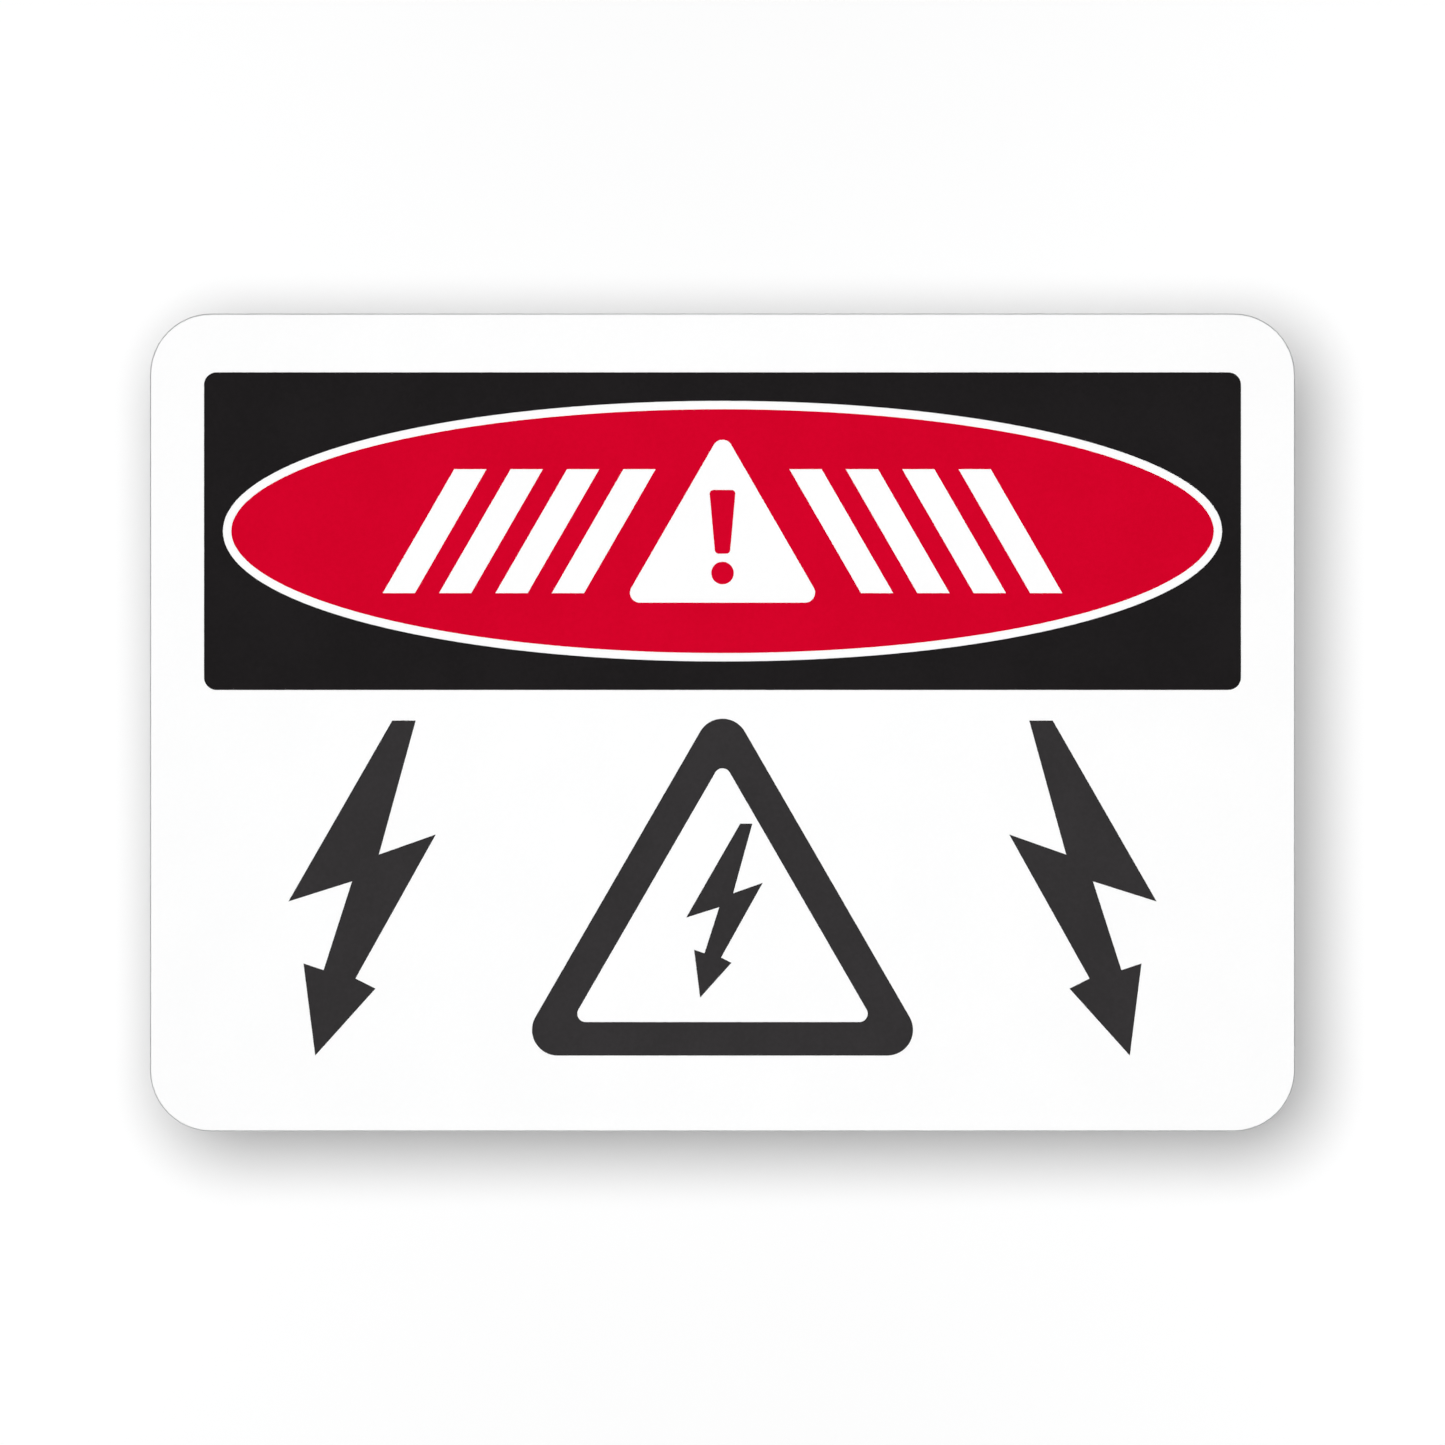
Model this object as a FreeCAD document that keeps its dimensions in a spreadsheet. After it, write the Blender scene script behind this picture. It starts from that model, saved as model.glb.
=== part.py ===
import FreeCAD, Part
import math
import os

import Sketcher

# A high voltage warning sign: a flat aluminium blank with rounded corners, faced with white
# film, with cut films in black, red and charcoal on top. It hangs upright: +X runs across the
# sign, +Z up it, and its face looks along -Y. The origin is the middle of the bare back, which
# lies against a wall, a fence or a post.

doc = FreeCAD.newDocument("high_voltage_warning_sign")

# Millimetres, and degrees for the lean of the bars.
SIZES = [
    ("sign_width", 355.6, "width of the blank, 14 inches"),
    ("sign_height", 254.0, "height of the blank, 10 inches"),
    ("corner_radius", 19.05, "corners of the blank, 3/4 inch"),
    ("plate_thickness", 1.6, "aluminium sheet, 0.063 inch"),
    ("edge_rounding", 0.25, "break on the blank's sheared edges"),
    ("film_thickness", 0.1, "every film with its adhesive"),
    ("face_inset", 0.4, "from the blank's edge to the white film's edge"),
    ("header_width", 321.9, "black header"),
    ("header_height", 98.6, "black header"),
    ("header_margin", 18.3, "from the top of the blank to the header"),
    ("header_radius", 3.9, "corners of the header"),
    ("ring_width", 307.6, "ellipse along the middle of the white ring"),
    ("ring_height", 78.3, "ellipse along the middle of the white ring"),
    ("ring_stroke", 2.6, "white ring, the same width all round"),
    ("bar_count", 4, "bars on each side of the oval"),
    ("bar_width", 10.0, "bar, along its foot"),
    ("bar_pitch", 17.5, "from one bar to the next"),
    ("bar_height", 38.5, "bar, measured upright"),
    ("bar_lean", 60.0, "angle between a bar and its foot"),
    ("bar_start", 43.0, "from the oval's middle to the first bar's foot"),
    ("mark_side", 62.0, "side of the white triangle in the oval"),
    ("mark_drop", 22.2, "from the oval's middle down to that triangle's foot"),
    ("mark_radius", 3.1, "corners of that triangle"),
    ("stem_top", 8.2, "width of the mark's stem at its top"),
    ("stem_bottom", 4.6, "width of the stem at its foot"),
    ("stem_rise", 15.2, "from the triangle's foot to the stem's foot"),
    ("stem_height", 19.8, "stem"),
    ("stem_radius", 1.2, "corners of the stem"),
    ("dot_radius", 3.5, "dot under the stem"),
    ("dot_rise", 9.2, "from the triangle's foot to the dot's middle"),
    ("legend_margin", 23.6, "from the bottom of the blank to the figures in the lower field"),
    ("warning_side", 130.0, "side of the charcoal triangle"),
    ("warning_band", 10.4, "width of that triangle's band"),
    ("warning_radius", 8.0, "outer corners of the band"),
    ("warning_inner_radius", 2.6, "inner corners of the band"),
    ("small_flash_height", 54.0, "flash inside the triangle"),
    ("small_flash_rise", 45.0, "from the triangle's foot to that flash's middle"),
    ("small_flash_shift", -1.0, "from the triangle's middle line to that flash's middle"),
    ("flash_height", 104.0, "flash on each side of the triangle"),
    ("flash_reach", 115.0, "from the sign's middle line to the middle of a side flash"),
]

# The arrow-headed flash, as points round its outline on a height of 1 about its middle.
FLASH = [
    (0.12, 0.50),
    (0.19, 0.50),
    (0.08, 0.10),
    (0.25, 0.16),
    (0.01, -0.27),
    (0.07, -0.30),
    (-0.11, -0.50),
    (-0.145, -0.225),
    (-0.085, -0.245),
    (0.0, 0.02),
    (-0.19, -0.04),
]

# Levels and heights that more than one piece shares, from the sizes above.
ON_PLATE = "sizes.plate_thickness"
ON_FACE = "sizes.plate_thickness + sizes.film_thickness"
HEADER_MIDDLE = "sizes.sign_height / 2 - sizes.header_margin - sizes.header_height / 2"
MARK_FOOT = f"{HEADER_MIDDLE} - sizes.mark_drop"
LEGEND_FOOT = "-sizes.sign_height / 2 + sizes.legend_margin"

# A sketch's own origin and axes, and the ends of its lines, go by number.
ORIGIN = -1
ACROSS = -1
UPRIGHT = -2
START, END, CENTRE = 1, 2, 3

# How far along a side, from its corner, a rounding takes hold of it.
NEAR_CORNER = 0.1

# A cut with no depth of its own, through everything.
THROUGH_ALL = 1

# Each edge of the white ring is this many short arcs, which stay within 0.02 of the true curve.
RING_ARCS = 48


def fill_sheet():
    """Writes each size, what it is and its name into the document's sheet."""
    sheet = doc.addObject("Spreadsheet::Sheet", "sizes")
    for row, (name, value, meaning) in enumerate(SIZES, start=1):
        sheet.set(f"A{row}", meaning)
        sheet.set(f"B{row}", str(value))
        sheet.setAlias(f"B{row}", name)
    doc.recompute()
    return sheet


def new_piece(label, across="0", out="0", up="0"):
    """A new piece, its own zero at the given expressions on the sheet."""
    piece = doc.addObject("PartDesign::Body", label)
    piece.Label = label
    piece.setExpression(".Placement.Base.x", across)
    piece.setExpression(".Placement.Base.y", f"-({out})")
    piece.setExpression(".Placement.Base.z", up)
    return piece


def new_sketch(piece, name):
    """An upright sketch at the back of the piece, X across it and Y up it."""
    plane = next(one for one in piece.Origin.OriginFeatures if one.Role == "XZ_Plane")
    sketch = piece.newObject("Sketcher::SketchObject", name)
    sketch.AttachmentSupport = (plane, [""])
    sketch.MapMode = "FlatFace"
    return sketch


def size_of(sketch, expression):
    """What an expression on the sheet comes to now."""
    return float(sketch.evalExpression(expression))


def hold(sketch, kind, first, second, expression):
    """Holds the distance from one sketch point to another to an expression."""
    value = size_of(sketch, expression)
    number = sketch.addConstraint(Sketcher.Constraint(kind, *first, *second, value))
    sketch.setExpression(f"Constraints[{number}]", expression)


def hold_corner(sketch, side, x, z):
    """Holds the start of a side at (x, z), on the axis itself where that is 0."""
    for kind, axis, place in (("DistanceX", UPRIGHT, x), ("DistanceY", ACROSS, z)):
        if place == "0":
            sketch.addConstraint(Sketcher.Constraint("PointOnObject", side, START, axis))
        else:
            hold(sketch, kind, (ORIGIN, START), (side, START), place)


def draw_outline(sketch, corners, radius=None):
    """Draws a closed outline of straight sides through (x, z) pairs of expressions.

    With a radius each corner is rounded, and its sharp point stays to hold the sides.
    """
    points = [FreeCAD.Vector(size_of(sketch, x), size_of(sketch, z), 0) for x, z in corners]
    following = points[1:] + points[:1]
    sides = [sketch.addGeometry(Part.LineSegment(*ends), False) for ends in zip(points, following)]
    for side, after in zip(sides, sides[1:] + sides[:1]):
        sketch.addConstraint(Sketcher.Constraint("Coincident", side, END, after, START))
    for side, (x, z) in zip(sides, corners):
        hold_corner(sketch, side, x, z)
    if radius:
        round_corners(sketch, sides, points, radius)


def round_corners(sketch, sides, points, radius):
    """Rounds every corner of an outline to one radius; each rounding adds an arc and its corner."""
    value = size_of(sketch, radius)
    first_arc = sketch.GeometryCount
    for number, corner in enumerate(points):
        before = points[number - 1]
        after = points[(number + 1) % len(points)]
        on_before = corner + (before - corner) * NEAR_CORNER
        on_after = corner + (after - corner) * NEAR_CORNER
        ends = sides[number - 1], sides[number]
        sketch.fillet(*ends, on_before, on_after, value, True, True)
    for arc in range(first_arc + 2, sketch.GeometryCount, 2):
        sketch.addConstraint(Sketcher.Constraint("Equal", first_arc, arc))
    number = sketch.addConstraint(Sketcher.Constraint("Radius", first_arc, value))
    sketch.setExpression(f"Constraints[{number}]", radius)


def rectangle(width, height):
    """The four corners of a rectangle about the sketch's origin."""
    return [
        (f"-({width}) / 2", f"-({height}) / 2"),
        (f"({width}) / 2", f"-({height}) / 2"),
        (f"({width}) / 2", f"({height}) / 2"),
        (f"-({width}) / 2", f"({height}) / 2"),
    ]


def triangle(side, foot="0"):
    """The corners of an equal-sided triangle that stands on its foot, point up."""
    return [
        (f"-({side}) / 2", foot),
        (f"({side}) / 2", foot),
        ("0", f"{foot} + ({side}) * sqrt(3) / 2"),
    ]


def make_ring_edge(name, side):
    """One edge of the white ring, outwards (side 1) or inwards (side -1) of its middle line.

    The middle line is the ellipse (a cos t, b sin t), and (b cos t, a sin t) points square
    outwards from it. The edge lies half a stroke along that direction everywhere, so the ring
    has the same width all round, which it would not have between two ellipses.
    """
    half_width = sheet.ring_width / 2
    half_height = sheet.ring_height / 2
    points = []
    for step in range(2 * RING_ARCS):
        turn = math.pi * step / RING_ARCS
        on_line = FreeCAD.Vector(half_width * math.cos(turn), 0, half_height * math.sin(turn))
        outward = FreeCAD.Vector(half_height * math.cos(turn), 0, half_width * math.sin(turn))
        points.append(on_line + outward.normalize() * side * sheet.ring_stroke / 2)
    points.append(points[0])
    arcs = [Part.Arc(*points[start : start + 3]).toShape() for start in range(0, 2 * RING_ARCS, 2)]
    edge = doc.addObject("Part::Feature", name)
    edge.Shape = Part.Wire(arcs)
    return edge


def bring_in(piece, edge):
    """Gives a piece its own copy of a ring edge, as a profile about the piece's zero."""
    profile = piece.newObject("PartDesign::SubShapeBinder", f"{piece.Name}_ring_edge")
    profile.Relative = False
    profile.Support = [(edge, [""])]
    doc.recompute()
    return profile


def pad(piece, profile, thickness="sizes.film_thickness"):
    """Gives a profile its thickness, forwards from the piece's back."""
    layer = piece.newObject("PartDesign::Pad", f"{piece.Name}_layer")
    layer.Profile = (profile, [""])
    layer.setExpression("Length", thickness)
    layer.UseCustomVector = True
    layer.Direction = FreeCAD.Vector(0, -1, 0)
    doc.recompute()
    return layer


def cut_through(piece, profile, name):
    """Cuts a profile out of the whole thickness, and stops if nothing was cut."""
    before = piece.Shape.Volume
    window = piece.newObject("PartDesign::Pocket", name)
    window.Profile = (profile, [""])
    window.Type = THROUGH_ALL
    window.Midplane = True
    doc.recompute()
    if not piece.Shape.Volume < before:
        raise RuntimeError(f"{name} cuts nothing")
    return window


def make_sign_plate():
    """The blank: sheet aluminium, punched with round corners, its sharp edges broken."""
    piece = new_piece("sign_plate")
    outline = new_sketch(piece, "plate_outline")
    draw_outline(outline, rectangle("sizes.sign_width", "sizes.sign_height"), "sizes.corner_radius")
    blank = pad(piece, outline, "sizes.plate_thickness")
    rims = [
        f"Edge{number}"
        for number, edge in enumerate(blank.Shape.Edges, start=1)
        if math.isclose(edge.Vertexes[0].Y, edge.Vertexes[-1].Y, abs_tol=0.001)
    ]
    broken = piece.newObject("PartDesign::Fillet", "broken_edges")
    broken.Base = (blank, rims)
    broken.setExpression("Radius", "sizes.edge_rounding")
    return piece


def make_face_film():
    """White film over the whole front, trimmed just inside the broken edge."""
    piece = new_piece("face_film", out=ON_PLATE)
    outline = new_sketch(piece, "face_outline")
    corners = rectangle(
        "sizes.sign_width - 2 * sizes.face_inset",
        "sizes.sign_height - 2 * sizes.face_inset",
    )
    draw_outline(outline, corners, "sizes.corner_radius - sizes.face_inset")
    pad(piece, outline)
    return piece


def make_header_film(outer_edge):
    """Black header with the window that shows the white ring and holds the red oval."""
    piece = new_piece("header_film", out=ON_FACE, up=HEADER_MIDDLE)
    outline = new_sketch(piece, "header_outline")
    draw_outline(outline, rectangle("sizes.header_width", "sizes.header_height"), "sizes.header_radius")
    pad(piece, outline)
    cut_through(piece, bring_in(piece, outer_edge), "oval_window")
    return piece


def make_oval_film(inner_edge):
    """Red oval inside the ring, with slanted bars and a triangle cut out down to the white."""
    piece = new_piece("oval_film", out=ON_FACE, up=HEADER_MIDDLE)
    pad(piece, bring_in(piece, inner_edge))

    mark = new_sketch(piece, "mark_outline")
    draw_outline(mark, triangle("sizes.mark_side", "-sizes.mark_drop"), "sizes.mark_radius")
    cut_through(piece, mark, "mark_window")

    bar = new_sketch(piece, "bar_outline")
    lean = "sizes.bar_height / tan(sizes.bar_lean)"
    corners = [
        ("sizes.bar_start", "-sizes.bar_height / 2"),
        ("sizes.bar_start + sizes.bar_width", "-sizes.bar_height / 2"),
        (f"sizes.bar_start + sizes.bar_width - {lean}", "sizes.bar_height / 2"),
        (f"sizes.bar_start - {lean}", "sizes.bar_height / 2"),
    ]
    draw_outline(bar, corners)
    first_bar = cut_through(piece, bar, "bar_window")
    repeat_bars(piece, bar, first_bar)
    return piece


def repeat_bars(piece, bar, first_bar):
    """Repeats the first bar outwards, and mirrors the row to the other half of the oval."""
    bars = piece.newObject("PartDesign::MultiTransform", "bar_windows")
    bars.Originals = [first_bar]
    row = piece.newObject("PartDesign::LinearPattern", "bar_row")
    row.Direction = (bar, ["H_Axis"])
    row.Mode = "Spacing"
    row.setExpression("Offset", "sizes.bar_pitch")
    row.setExpression("Occurrences", "sizes.bar_count")
    halves = piece.newObject("PartDesign::Mirrored", "bar_halves")
    halves.MirrorPlane = (bar, ["V_Axis"])
    bars.Transformations = [row, halves]
    piece.Tip = bars


def make_stem_film():
    """Red stem of the mark in the oval's triangle, wider at its top."""
    piece = new_piece("mark_stem_film", out=ON_FACE, up=MARK_FOOT)
    outline = new_sketch(piece, "stem_outline")
    top = "sizes.stem_rise + sizes.stem_height"
    corners = [
        ("-sizes.stem_bottom / 2", "sizes.stem_rise"),
        ("sizes.stem_bottom / 2", "sizes.stem_rise"),
        ("sizes.stem_top / 2", top),
        ("-sizes.stem_top / 2", top),
    ]
    draw_outline(outline, corners, "sizes.stem_radius")
    pad(piece, outline)
    return piece


def make_dot_film():
    """Red dot under the stem."""
    piece = new_piece("mark_dot_film", out=ON_FACE, up=f"{MARK_FOOT} + sizes.dot_rise")
    outline = new_sketch(piece, "dot_outline")
    radius = size_of(outline, "sizes.dot_radius")
    dot = outline.addGeometry(Part.Circle(FreeCAD.Vector(), FreeCAD.Vector(0, 0, 1), radius), False)
    outline.addConstraint(Sketcher.Constraint("Coincident", dot, CENTRE, ORIGIN, START))
    number = outline.addConstraint(Sketcher.Constraint("Radius", dot, radius))
    outline.setExpression(f"Constraints[{number}]", "sizes.dot_radius")
    pad(piece, outline)
    return piece


def make_triangle_film():
    """Charcoal band round the triangle in the lower field."""
    piece = new_piece("triangle_film", out=ON_FACE, up=LEGEND_FOOT)
    outline = new_sketch(piece, "triangle_outline")
    draw_outline(outline, triangle("sizes.warning_side"), "sizes.warning_radius")
    pad(piece, outline)
    inside = new_sketch(piece, "triangle_inside")
    inner_side = "sizes.warning_side - 2 * sqrt(3) * sizes.warning_band"
    draw_outline(inside, triangle(inner_side, "sizes.warning_band"), "sizes.warning_inner_radius")
    cut_through(piece, inside, "triangle_window")
    return piece


def make_flash_film(label, height, across, up, facing=1):
    """Charcoal flash of the given height; facing -1 turns it left for right."""
    piece = new_piece(label, across, ON_FACE, up)
    outline = new_sketch(piece, f"{label}_outline")
    corners = [(f"{height} * {facing * x}" if x else "0", f"{height} * {z}") for x, z in FLASH]
    draw_outline(outline, corners)
    pad(piece, outline)
    return piece


def check_document():
    """Stops at the first object that could not be worked out."""
    for one in doc.Objects:
        if "Invalid" in one.State or "Error" in one.State:
            raise RuntimeError(f"{one.Label} could not be made: {one.State}")


def check_piece(piece):
    """Stops unless the piece is one sound solid."""
    shape = piece.Shape
    if shape.isNull() or not shape.isValid() or len(shape.Solids) != 1:
        raise RuntimeError(f"{piece.Label} is not one sound solid")


sheet = fill_sheet()
middle_of_side_flash = f"{LEGEND_FOOT} + sizes.flash_height / 2"
pieces = [
    make_sign_plate(),
    make_face_film(),
    make_header_film(make_ring_edge("ring_outer_edge", 1)),
    make_oval_film(make_ring_edge("ring_inner_edge", -1)),
    make_stem_film(),
    make_dot_film(),
    make_triangle_film(),
    make_flash_film(
        "triangle_flash_film",
        "sizes.small_flash_height",
        "sizes.small_flash_shift",
        f"{LEGEND_FOOT} + sizes.small_flash_rise",
    ),
    make_flash_film(
        "left_flash_film", "sizes.flash_height", "-sizes.flash_reach", middle_of_side_flash
    ),
    make_flash_film(
        "right_flash_film", "sizes.flash_height", "sizes.flash_reach", middle_of_side_flash, -1
    ),
]
doc.recompute()
check_document()
for piece in pieces:
    check_piece(piece)
os.makedirs("parts", exist_ok=True)
for piece in pieces:
    piece.Shape.exportStep(f"parts/{piece.Label}.step")
    print(f"{piece.Label}: {piece.Shape.Volume / 1000:.3f} cm3")
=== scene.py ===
import math

import bpy
import numpy as np
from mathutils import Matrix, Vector


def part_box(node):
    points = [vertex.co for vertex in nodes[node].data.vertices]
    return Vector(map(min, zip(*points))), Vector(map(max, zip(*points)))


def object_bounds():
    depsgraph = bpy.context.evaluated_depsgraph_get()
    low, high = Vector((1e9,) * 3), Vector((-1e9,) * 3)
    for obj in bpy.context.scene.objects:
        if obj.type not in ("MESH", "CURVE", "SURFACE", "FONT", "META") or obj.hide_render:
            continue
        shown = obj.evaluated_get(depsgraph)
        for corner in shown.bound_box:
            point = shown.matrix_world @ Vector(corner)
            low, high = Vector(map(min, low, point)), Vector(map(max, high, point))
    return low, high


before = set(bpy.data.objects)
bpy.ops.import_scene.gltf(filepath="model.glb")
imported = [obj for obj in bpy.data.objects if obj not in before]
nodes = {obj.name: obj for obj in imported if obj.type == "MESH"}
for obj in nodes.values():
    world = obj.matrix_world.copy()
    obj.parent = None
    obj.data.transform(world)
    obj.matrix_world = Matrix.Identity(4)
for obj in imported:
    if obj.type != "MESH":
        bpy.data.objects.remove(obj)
cad_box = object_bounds()


# The blank is 1.6 mm aluminium sheet, rolled, punched to shape with round corners and left bare.
# Its back shows the mill's rolling lines, faint clouding and a few handling scratches, and its
# edge has the smooth band and the torn band that a punch leaves.
PLATE_THICKNESS = -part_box("sign_plate")[0].y
ALUMINIUM_LIGHT = (0.85, 0.855, 0.86, 1.0)
ALUMINIUM_DARK = (0.73, 0.737, 0.746, 1.0)
ALUMINIUM_SHADES = (0.32, 0.68)
ALUMINIUM_ROUGHNESS = 0.24
MICRON = 0.000001

# Each grain's size along X, Y and Z in metres. The sheet was rolled along X.
HAIRLINE_GRAIN = (0.12, 0.02, 0.0006)
LINE_GRAIN = (0.30, 0.02, 0.0024)
BAND_GRAIN = (0.80, 0.02, 0.016)
CLOUD_GRAIN = (0.07, 0.07, 0.045)
SCORE_GRAIN = (0.00035, 0.004, 0.00035)
TORN_GRAIN = (0.00018, 0.00018, 0.00018)

# Each set of scratches: its grain, its lean, and the noise at which one begins and is deepest.
SCRATCHES = (
    ((0.30, 0.02, 0.0016), 0.5, 0.76, 0.80),
    ((0.22, 0.02, 0.0014), -0.9, 0.77, 0.81),
    ((0.22, 0.02, 0.0014), 1.25, 0.77, 0.81),
)

# Where the edge begins and ends, as shares of the thickness from the back, and where its torn
# band begins, as shares from the face.
BACK_BREAK = (0.06, 0.16)
FACE_BREAK = (0.86, 0.96)
TEAR = (0.40, 0.52)


class Value:
    """One output of a material's nodes. Sums on it are written in Python and add Math nodes."""

    def __init__(self, tree, socket=None):
        self.tree = tree
        self.socket = socket

    def node(self, kind, settings, inputs, output=0):
        """Adds any node: its settings first, then the values or links of its sockets."""
        made = self.tree.nodes.new(kind)
        for name, setting in settings.items():
            setattr(made, name, setting)
        self.feed(made, inputs)
        return Value(self.tree, made.outputs[output])

    def feed(self, node, inputs):
        """Gives a node's sockets their links or plain values."""
        for name, given in inputs.items():
            if isinstance(given, Value):
                self.tree.links.new(given.socket, node.inputs[name])
            else:
                node.inputs[name].default_value = given

    def math(self, operation, first, second):
        return self.node("ShaderNodeMath", {"operation": operation}, {0: first, 1: second})

    def __add__(self, other):
        return self.math("ADD", self, other)

    __radd__ = __add__

    def __mul__(self, other):
        return self.math("MULTIPLY", self, other)

    __rmul__ = __mul__

    def __sub__(self, other):
        return self.math("SUBTRACT", self, other)

    def __rsub__(self, other):
        return self.math("SUBTRACT", other, self)

    def between(self, low, high):
        """0 below low, 1 above high, and an S-curve from one to the other."""
        ends = {"Value": self, "From Min": low, "From Max": high}
        return self.node("ShaderNodeMapRange", {"interpolation_type": "SMOOTHSTEP"}, ends)

    def grain(self, size, detail=1.0, turn=0.0):
        """Noise from 0 to 1 at this place. Its grains are about size = (x, y, z) metres.

        The pattern is leant by turn, in radians, about Y.
        """
        pattern = {"Vector": self, "Rotation": (0.0, turn, 0.0)}
        turned = self.node("ShaderNodeMapping", {"vector_type": "POINT"}, pattern)
        scaling = {0: turned, 1: tuple(1.0 / one for one in size)}
        spread = self.node("ShaderNodeVectorMath", {"operation": "MULTIPLY"}, scaling)
        noise = {"Vector": spread, "Scale": 1.0, "Detail": detail}
        return self.node("ShaderNodeTexNoise", {}, noise)

    def blend(self, first, second):
        """The first colour where this is 0, the second where it is 1."""
        settings = {"data_type": "RGBA"}
        return self.node("ShaderNodeMix", settings, {"Factor": self, 6: first, 7: second}, 2)

    def relief(self):
        """A surface normal that follows this as a height in thousandths of a millimetre."""
        height = {"Height": self, "Distance": MICRON, "Strength": 1.0}
        return self.node("ShaderNodeBump", {}, height)


def new_finish(name, inputs):
    """A material, its shader with these plain inputs, and each point's place in metres."""
    material = bpy.data.materials.new(name)
    material.use_nodes = True
    shader = material.node_tree.nodes["Principled BSDF"]
    place = Value(material.node_tree).node("ShaderNodeTexCoord", {}, {}, "Object")
    place.feed(shader, inputs)
    return material, shader, place


def mill_finish_aluminium():
    """Bare rolled sheet: lines along X at three widths, clouds, and scratches three ways.

    The punched edge is scored across the thickness near the face and torn near the back.
    """
    inputs = {"Metallic": 1.0, "Anisotropic": 0.5, "Anisotropic Rotation": 0.25}
    material, shader, place = new_finish("mill_finish_aluminium", inputs)
    hairlines = place.grain(HAIRLINE_GRAIN, 2.0)
    lines = place.grain(LINE_GRAIN, 2.0)
    bands = place.grain(BAND_GRAIN, 2.0)
    clouds = place.grain(CLOUD_GRAIN, 3.0)
    scratches = sum(
        place.grain(size, 0.0, lean).between(begins, deepest)
        for size, lean, begins, deepest in SCRATCHES
    )

    y = place.node("ShaderNodeSeparateXYZ", {}, {0: place}, "Y")
    from_back = y * (-1.0 / PLATE_THICKNESS)
    on_edge = from_back.between(*BACK_BREAK) - from_back.between(*FACE_BREAK)
    torn = (1.0 - from_back).between(*TEAR) * on_edge
    score_lines = place.grain(SCORE_GRAIN, 1.0)
    torn_grains = place.grain(TORN_GRAIN, 2.0)

    sheen = hairlines * 0.30 + lines * 0.30 + bands * 0.20 + clouds * 0.20
    edge_sheen = score_lines * (1.0 - torn) + torn_grains * torn * 0.7
    shade = sheen * (1.0 - on_edge) + edge_sheen * on_edge
    colour = shade.between(*ALUMINIUM_SHADES).blend(ALUMINIUM_DARK, ALUMINIUM_LIGHT)
    roughness = ALUMINIUM_ROUGHNESS + hairlines * 0.10 + bands * 0.08 + clouds * 0.12
    roughness = roughness - scratches * 0.06 + torn * 0.22

    # Heights in thousandths of a millimetre.
    height = hairlines * 3.0 + lines * 5.0 + bands * 12.0 - scratches * 6.0
    edge_height = score_lines * 8.0 + torn_grains * torn * 18.0
    surface = height * (1.0 - on_edge) + edge_height * on_edge
    place.feed(
        shader, {"Base Color": colour, "Roughness": roughness, "Normal": surface.relief()}
    )
    return material


nodes["sign_plate"].material_slots[0].material = mill_finish_aluminium()


# The face is one sheet of white film over the whole front, rolled on and trimmed a hair inside
# the blank's edge, so that a fine line of bare metal shows all round. It is satin, with the
# faint pebble that every calendered film has and a slow waviness from the sheet under it.
FILM_WHITE = (0.99, 0.99, 0.99, 1.0)
FILM_WHITE_SHADED = (0.975, 0.976, 0.977, 1.0)
FILM_WHITE_ROUGHNESS = 0.19
FILM_SPECULAR = 0.4
FILM_TONES = (0.3, 0.7)

# Grains in metres, and their heights in thousandths of a millimetre.
PEBBLE_GRAIN = (0.0013, 0.0013, 0.0013)
PEBBLE_HEIGHT = 24.0
WAVE_GRAIN = (0.07, 0.07, 0.05)
WAVE_HEIGHT = 500.0
FILM_CLOUD_GRAIN = (0.025, 0.025, 0.025)


def satin_film(name, colour, shaded, roughness):
    """Plastic film in a colour: pebbled, slowly wavy, and a little uneven in tone and gloss."""
    inputs = {"Specular IOR Level": FILM_SPECULAR}
    material, shader, place = new_finish(name, inputs)
    pebble = place.grain(PEBBLE_GRAIN, 1.0)
    waves = place.grain(WAVE_GRAIN)
    clouds = place.grain(FILM_CLOUD_GRAIN, 3.0)
    tone = clouds * 0.6 + pebble * 0.4
    height = pebble * PEBBLE_HEIGHT + waves * WAVE_HEIGHT
    place.feed(
        shader,
        {
            "Base Color": tone.between(*FILM_TONES).blend(shaded, colour),
            "Roughness": roughness + clouds * 0.06 + pebble * 0.04,
            "Normal": height.relief(),
        },
    )
    return material


nodes["face_film"].material_slots[0].material = satin_film(
    "white_satin_film", FILM_WHITE, FILM_WHITE_SHADED, FILM_WHITE_ROUGHNESS
)


# The black header is cut from one piece of film, a rounded rectangle with an oval window. The
# white that shows in the window, round the red oval, is the face film under it.
FILM_BLACK = (0.0148, 0.0132, 0.0139, 1.0)
FILM_BLACK_SHADED = (0.0122, 0.0110, 0.0115, 1.0)
FILM_BLACK_ROUGHNESS = 0.13
nodes["header_film"].material_slots[0].material = satin_film(
    "black_satin_film", FILM_BLACK, FILM_BLACK_SHADED, FILM_BLACK_ROUGHNESS
)


# The oval and the two pieces of the mark in its triangle are cut from the same red film. The
# bars and the triangle are cut out of the oval, so that the white face shows through them.
FILM_RED = (0.665, 0.0004, 0.0225, 1.0)
FILM_RED_SHADED = (0.625, 0.0003, 0.0195, 1.0)
FILM_RED_ROUGHNESS = 0.13
red_satin_film = satin_film("red_satin_film", FILM_RED, FILM_RED_SHADED, FILM_RED_ROUGHNESS)
for name in ("oval_film", "mark_stem_film", "mark_dot_film"):
    nodes[name].material_slots[0].material = red_satin_film


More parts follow.
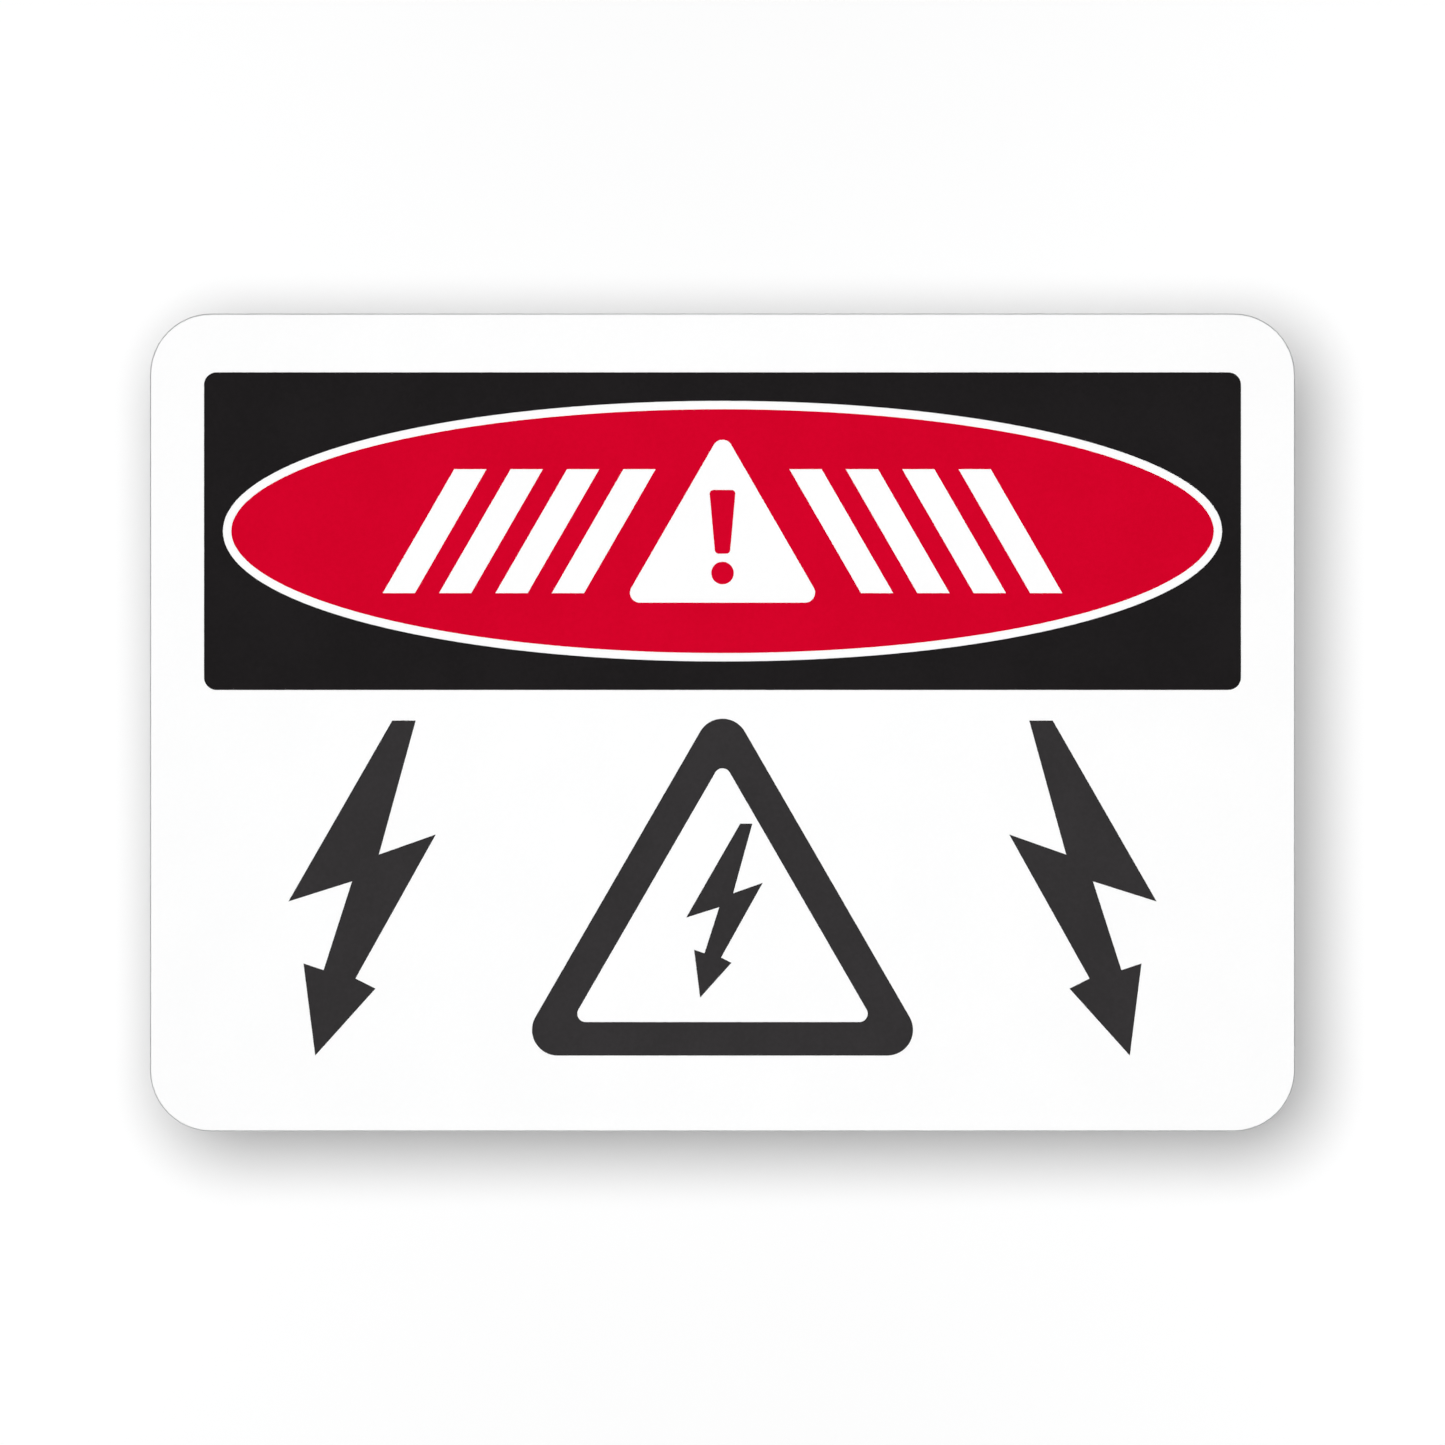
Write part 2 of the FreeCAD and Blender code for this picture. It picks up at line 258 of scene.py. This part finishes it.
# The triangle and the flashes in the lower field are cut from charcoal film, a shade lighter
# than the header's black and a little duller.
FILM_CHARCOAL = (0.0370, 0.0345, 0.0360, 1.0)
FILM_CHARCOAL_SHADED = (0.0320, 0.0300, 0.0310, 1.0)
FILM_CHARCOAL_ROUGHNESS = 0.17
charcoal_satin_film = satin_film(
    "charcoal_satin_film", FILM_CHARCOAL, FILM_CHARCOAL_SHADED, FILM_CHARCOAL_ROUGHNESS
)
for name in ("triangle_film", "triangle_flash_film", "left_flash_film", "right_flash_film"):
    nodes[name].material_slots[0].material = charcoal_satin_film


# The studio is a round white cove, its floor curving up into its wall, and the sign hangs at its
# middle at eye level. The floor and the sides glow a little, which keeps them as pale as the
# wall behind the sign. The cove neither lights the sign nor shows in its gloss.
COVE_RADIUS = 2.0
COVE_BEND = 0.6
COVE_FLOOR = -1.5
COVE_TOP = 2.0
COVE_SIDES = 96
BEND_POINTS = 25
COVE_WHITE = (0.955, 0.955, 0.955, 1.0)
COVE_WHITE_SHADED = (0.945, 0.945, 0.945, 1.0)
COVE_ROUGHNESS = 0.9
COVE_CLOUD_GRAIN = (0.4, 0.4, 0.4)
COVE_GLOW = (0.30, 0.30, 0.30, 1.0)
COVE_NO_GLOW = (0.0, 0.0, 0.0, 1.0)
GLOW_FULL_TO = 1.35
GLOW_NONE_FROM = 1.75


def turned_skin(name, profile, steps):
    """A profile of (r, z) points turned about the upright axis: (r cos a, r sin a, z).

    The profile's first point is on the axis and is one vertex, with a fan of triangles round it.
    """
    angle = np.linspace(0.0, 2.0 * np.pi, steps, endpoint=False)
    radius, height = np.array(profile[1:], float).T
    ring = np.stack(
        [
            radius[:, None] * np.cos(angle),
            radius[:, None] * np.sin(angle),
            np.repeat(height[:, None], steps, axis=1),
        ],
        axis=2,
    )
    points = np.concatenate([[[0.0, 0.0, profile[0][1]]], ring.reshape(-1, 3)])
    index = np.arange(ring.shape[0] * steps).reshape(-1, steps) + 1
    beside = np.roll(index, -1, axis=1)
    quads = np.stack([index[:-1], index[1:], beside[1:], beside[:-1]], axis=2).reshape(-1, 4)
    fan = np.stack([np.zeros(steps, int), index[0], beside[0]], axis=1)
    mesh = bpy.data.meshes.new(name)
    mesh.from_pydata(points.tolist(), [], fan.tolist() + quads.tolist())
    mesh.polygons.foreach_set("use_smooth", np.ones(len(mesh.polygons), bool))
    piece = bpy.data.objects.new(name, mesh)
    bpy.context.scene.collection.objects.link(piece)
    return piece


bend = np.linspace(0.0, np.pi / 2, BEND_POINTS)
bend_r = COVE_RADIUS - COVE_BEND + COVE_BEND * np.sin(bend)
bend_z = COVE_FLOOR + COVE_BEND - COVE_BEND * np.cos(bend)
bend_points = list(zip(bend_r.tolist(), bend_z.tolist()))
cove_profile = [(0.0, COVE_FLOOR), *bend_points, (COVE_RADIUS, COVE_TOP)]
cove = turned_skin("cove", cove_profile, COVE_SIDES)
cove.visible_diffuse = False
cove.visible_glossy = False
cove.visible_shadow = False
cove.visible_transmission = False

cove_inputs = {
    "Roughness": COVE_ROUGHNESS,
    "Specular IOR Level": 0.0,
    "Emission Strength": 1.0,
}
cove_paint, cove_shader, cove_place = new_finish("cove_paint", cove_inputs)
cove_tone = cove_place.grain(COVE_CLOUD_GRAIN, 2.0)
towards_wall = cove_place.node("ShaderNodeSeparateXYZ", {}, {0: cove_place}, "Y")
behind_sign = towards_wall.between(GLOW_FULL_TO, GLOW_NONE_FROM)
cove_place.feed(
    cove_shader,
    {
        "Base Color": cove_tone.blend(COVE_WHITE_SHADED, COVE_WHITE),
        "Emission Color": behind_sign.blend(COVE_GLOW, COVE_NO_GLOW),
    },
)
cove.data.materials.append(cove_paint)


# The camera looks square at the middle of the face, as the photograph does. Its distance is the
# one at which the blank is as wide in the picture as it is in the photograph.
PHOTO_WIDTH = 1445.0
SIGN_LEFT_IN_PHOTO = 149.5
SIGN_RIGHT_IN_PHOTO = 1295.0
FOCAL_LENGTH = 85.0
SENSOR_WIDTH = 36.0

low, high = cad_box
view_width = (high.x - low.x) * PHOTO_WIDTH / (SIGN_RIGHT_IN_PHOTO - SIGN_LEFT_IN_PHOTO)
view_distance = view_width * FOCAL_LENGTH / SENSOR_WIDTH
lens = bpy.data.cameras.new("camera")
lens.lens = FOCAL_LENGTH
lens.sensor_width = SENSOR_WIDTH
camera = bpy.data.objects.new("camera", lens)
camera.location = (0.0, low.y - view_distance, 0.0)
camera.rotation_euler = (math.pi / 2, 0.0, 0.0)
bpy.context.scene.collection.objects.link(camera)
bpy.context.scene.camera = camera

# The standard view shows colours as they are lit. The default one would soften the bright ones.
bpy.context.scene.view_settings.view_transform = "Standard"


# The light is a round lamp beside the lens, a little up and to the left, which throws the sign's
# soft shadow down and to the right on the wall behind. A pale sky fills in from the sides. It is
# dark behind the camera, so that the face's gloss doesn't wash out the black and the red.
LAMP_WIDTH = 0.055
LAMP_OFFSET = 0.0086
LAMP_POWER = 32.3
LAMP_CONE = math.radians(66.0)
LAMP_FADE = 0.70
SKY_COLOUR = (1.0, 1.0, 1.0, 1.0)
SKY_FRONT = 0.02
SKY_SIDES = 0.95
SKY_BACK = 0.30

# Where the sky changes, by how far a direction points to the back: -1 is the front, 1 the back.
FRONT_TO_SIDES = (-0.80, -0.10)
SIDES_TO_BACK = (0.25, 0.90)


def add_lamp(name, kind, place, power, settings, lean=0.0):
    """A lamp of that kind that faces the sign's middle, leant sideways, unseen by the camera."""
    data = bpy.data.lights.new(name, kind)
    data.energy = power
    for setting, value in settings.items():
        setattr(data, setting, value)
    lamp = bpy.data.objects.new(name, data)
    lamp.location = place
    lamp.rotation_euler = Vector(place).to_track_quat("Z", "Y").to_euler()
    lamp.rotation_euler.rotate_axis("Z", lean)
    lamp.visible_camera = False
    bpy.context.scene.collection.objects.link(lamp)
    return lamp


lens_lamp = add_lamp(
    "lens_lamp",
    "SPOT",
    (-LAMP_OFFSET, camera.location.y, LAMP_OFFSET),
    LAMP_POWER,
    {"shadow_soft_size": LAMP_WIDTH / 2, "spot_size": LAMP_CONE, "spot_blend": LAMP_FADE},
)
lens_lamp.visible_glossy = False
lens_lamp.data.use_nodes = True
lamp_tree = lens_lamp.data.node_tree
steady = Value(lamp_tree).node("ShaderNodeLightFalloff", {}, {"Strength": 1.0}, "Constant")
steady.feed(lamp_tree.nodes["Emission"], {"Strength": steady})

world = bpy.data.worlds.new("pale_sky")
bpy.context.scene.world = world
world.use_nodes = True
direction = Value(world.node_tree).node("ShaderNodeTexCoord", {}, {}, "Generated")
towards_back = direction.node("ShaderNodeSeparateXYZ", {}, {0: direction}, "Y")
out_of_front = towards_back.between(*FRONT_TO_SIDES)
into_back = towards_back.between(*SIDES_TO_BACK)
glow = SKY_FRONT + (SKY_SIDES - SKY_FRONT) * out_of_front + (SKY_BACK - SKY_SIDES) * into_back
glow.feed(world.node_tree.nodes["Background"], {"Color": SKY_COLOUR, "Strength": glow})


# Three softboxes show only in gloss. A tall one low at the front left lays a sheen across the
# films as the sign turns, and a tall one at the back right lights the bare back. A square one
# behind the camera shows in the metal alone, and keeps the fine margin round the face pale.
sign_pieces = bpy.data.collections.new("sign_pieces")
for piece in nodes.values():
    sign_pieces.objects.link(piece)
bare_metal = bpy.data.collections.new("bare_metal")
bare_metal.objects.link(nodes["sign_plate"])

# Each softbox: what it shows in, its place, its width, its height, its power and its lean.
FRONT_LEAN = math.radians(20.0)
SOFTBOXES = {
    "front_softbox": (sign_pieces, (-1.02, -1.21, -0.75), 0.12, 1.80, 1.6, FRONT_LEAN),
    "back_softbox": (sign_pieces, (1.13, 1.13, -0.35), 0.16, 1.70, 1.6, 0.0),
    "margin_softbox": (bare_metal, (0.0, -1.30, 0.0), 1.00, 1.00, 3.5, 0.0),
}
for name, (receivers, place, width, height, power, lean) in SOFTBOXES.items():
    shape = {"shape": "RECTANGLE", "size": width, "size_y": height}
    softbox = add_lamp(name, "AREA", place, power, shape, lean)
    softbox.visible_diffuse = False
    softbox.light_linking.receiver_collection = receivers
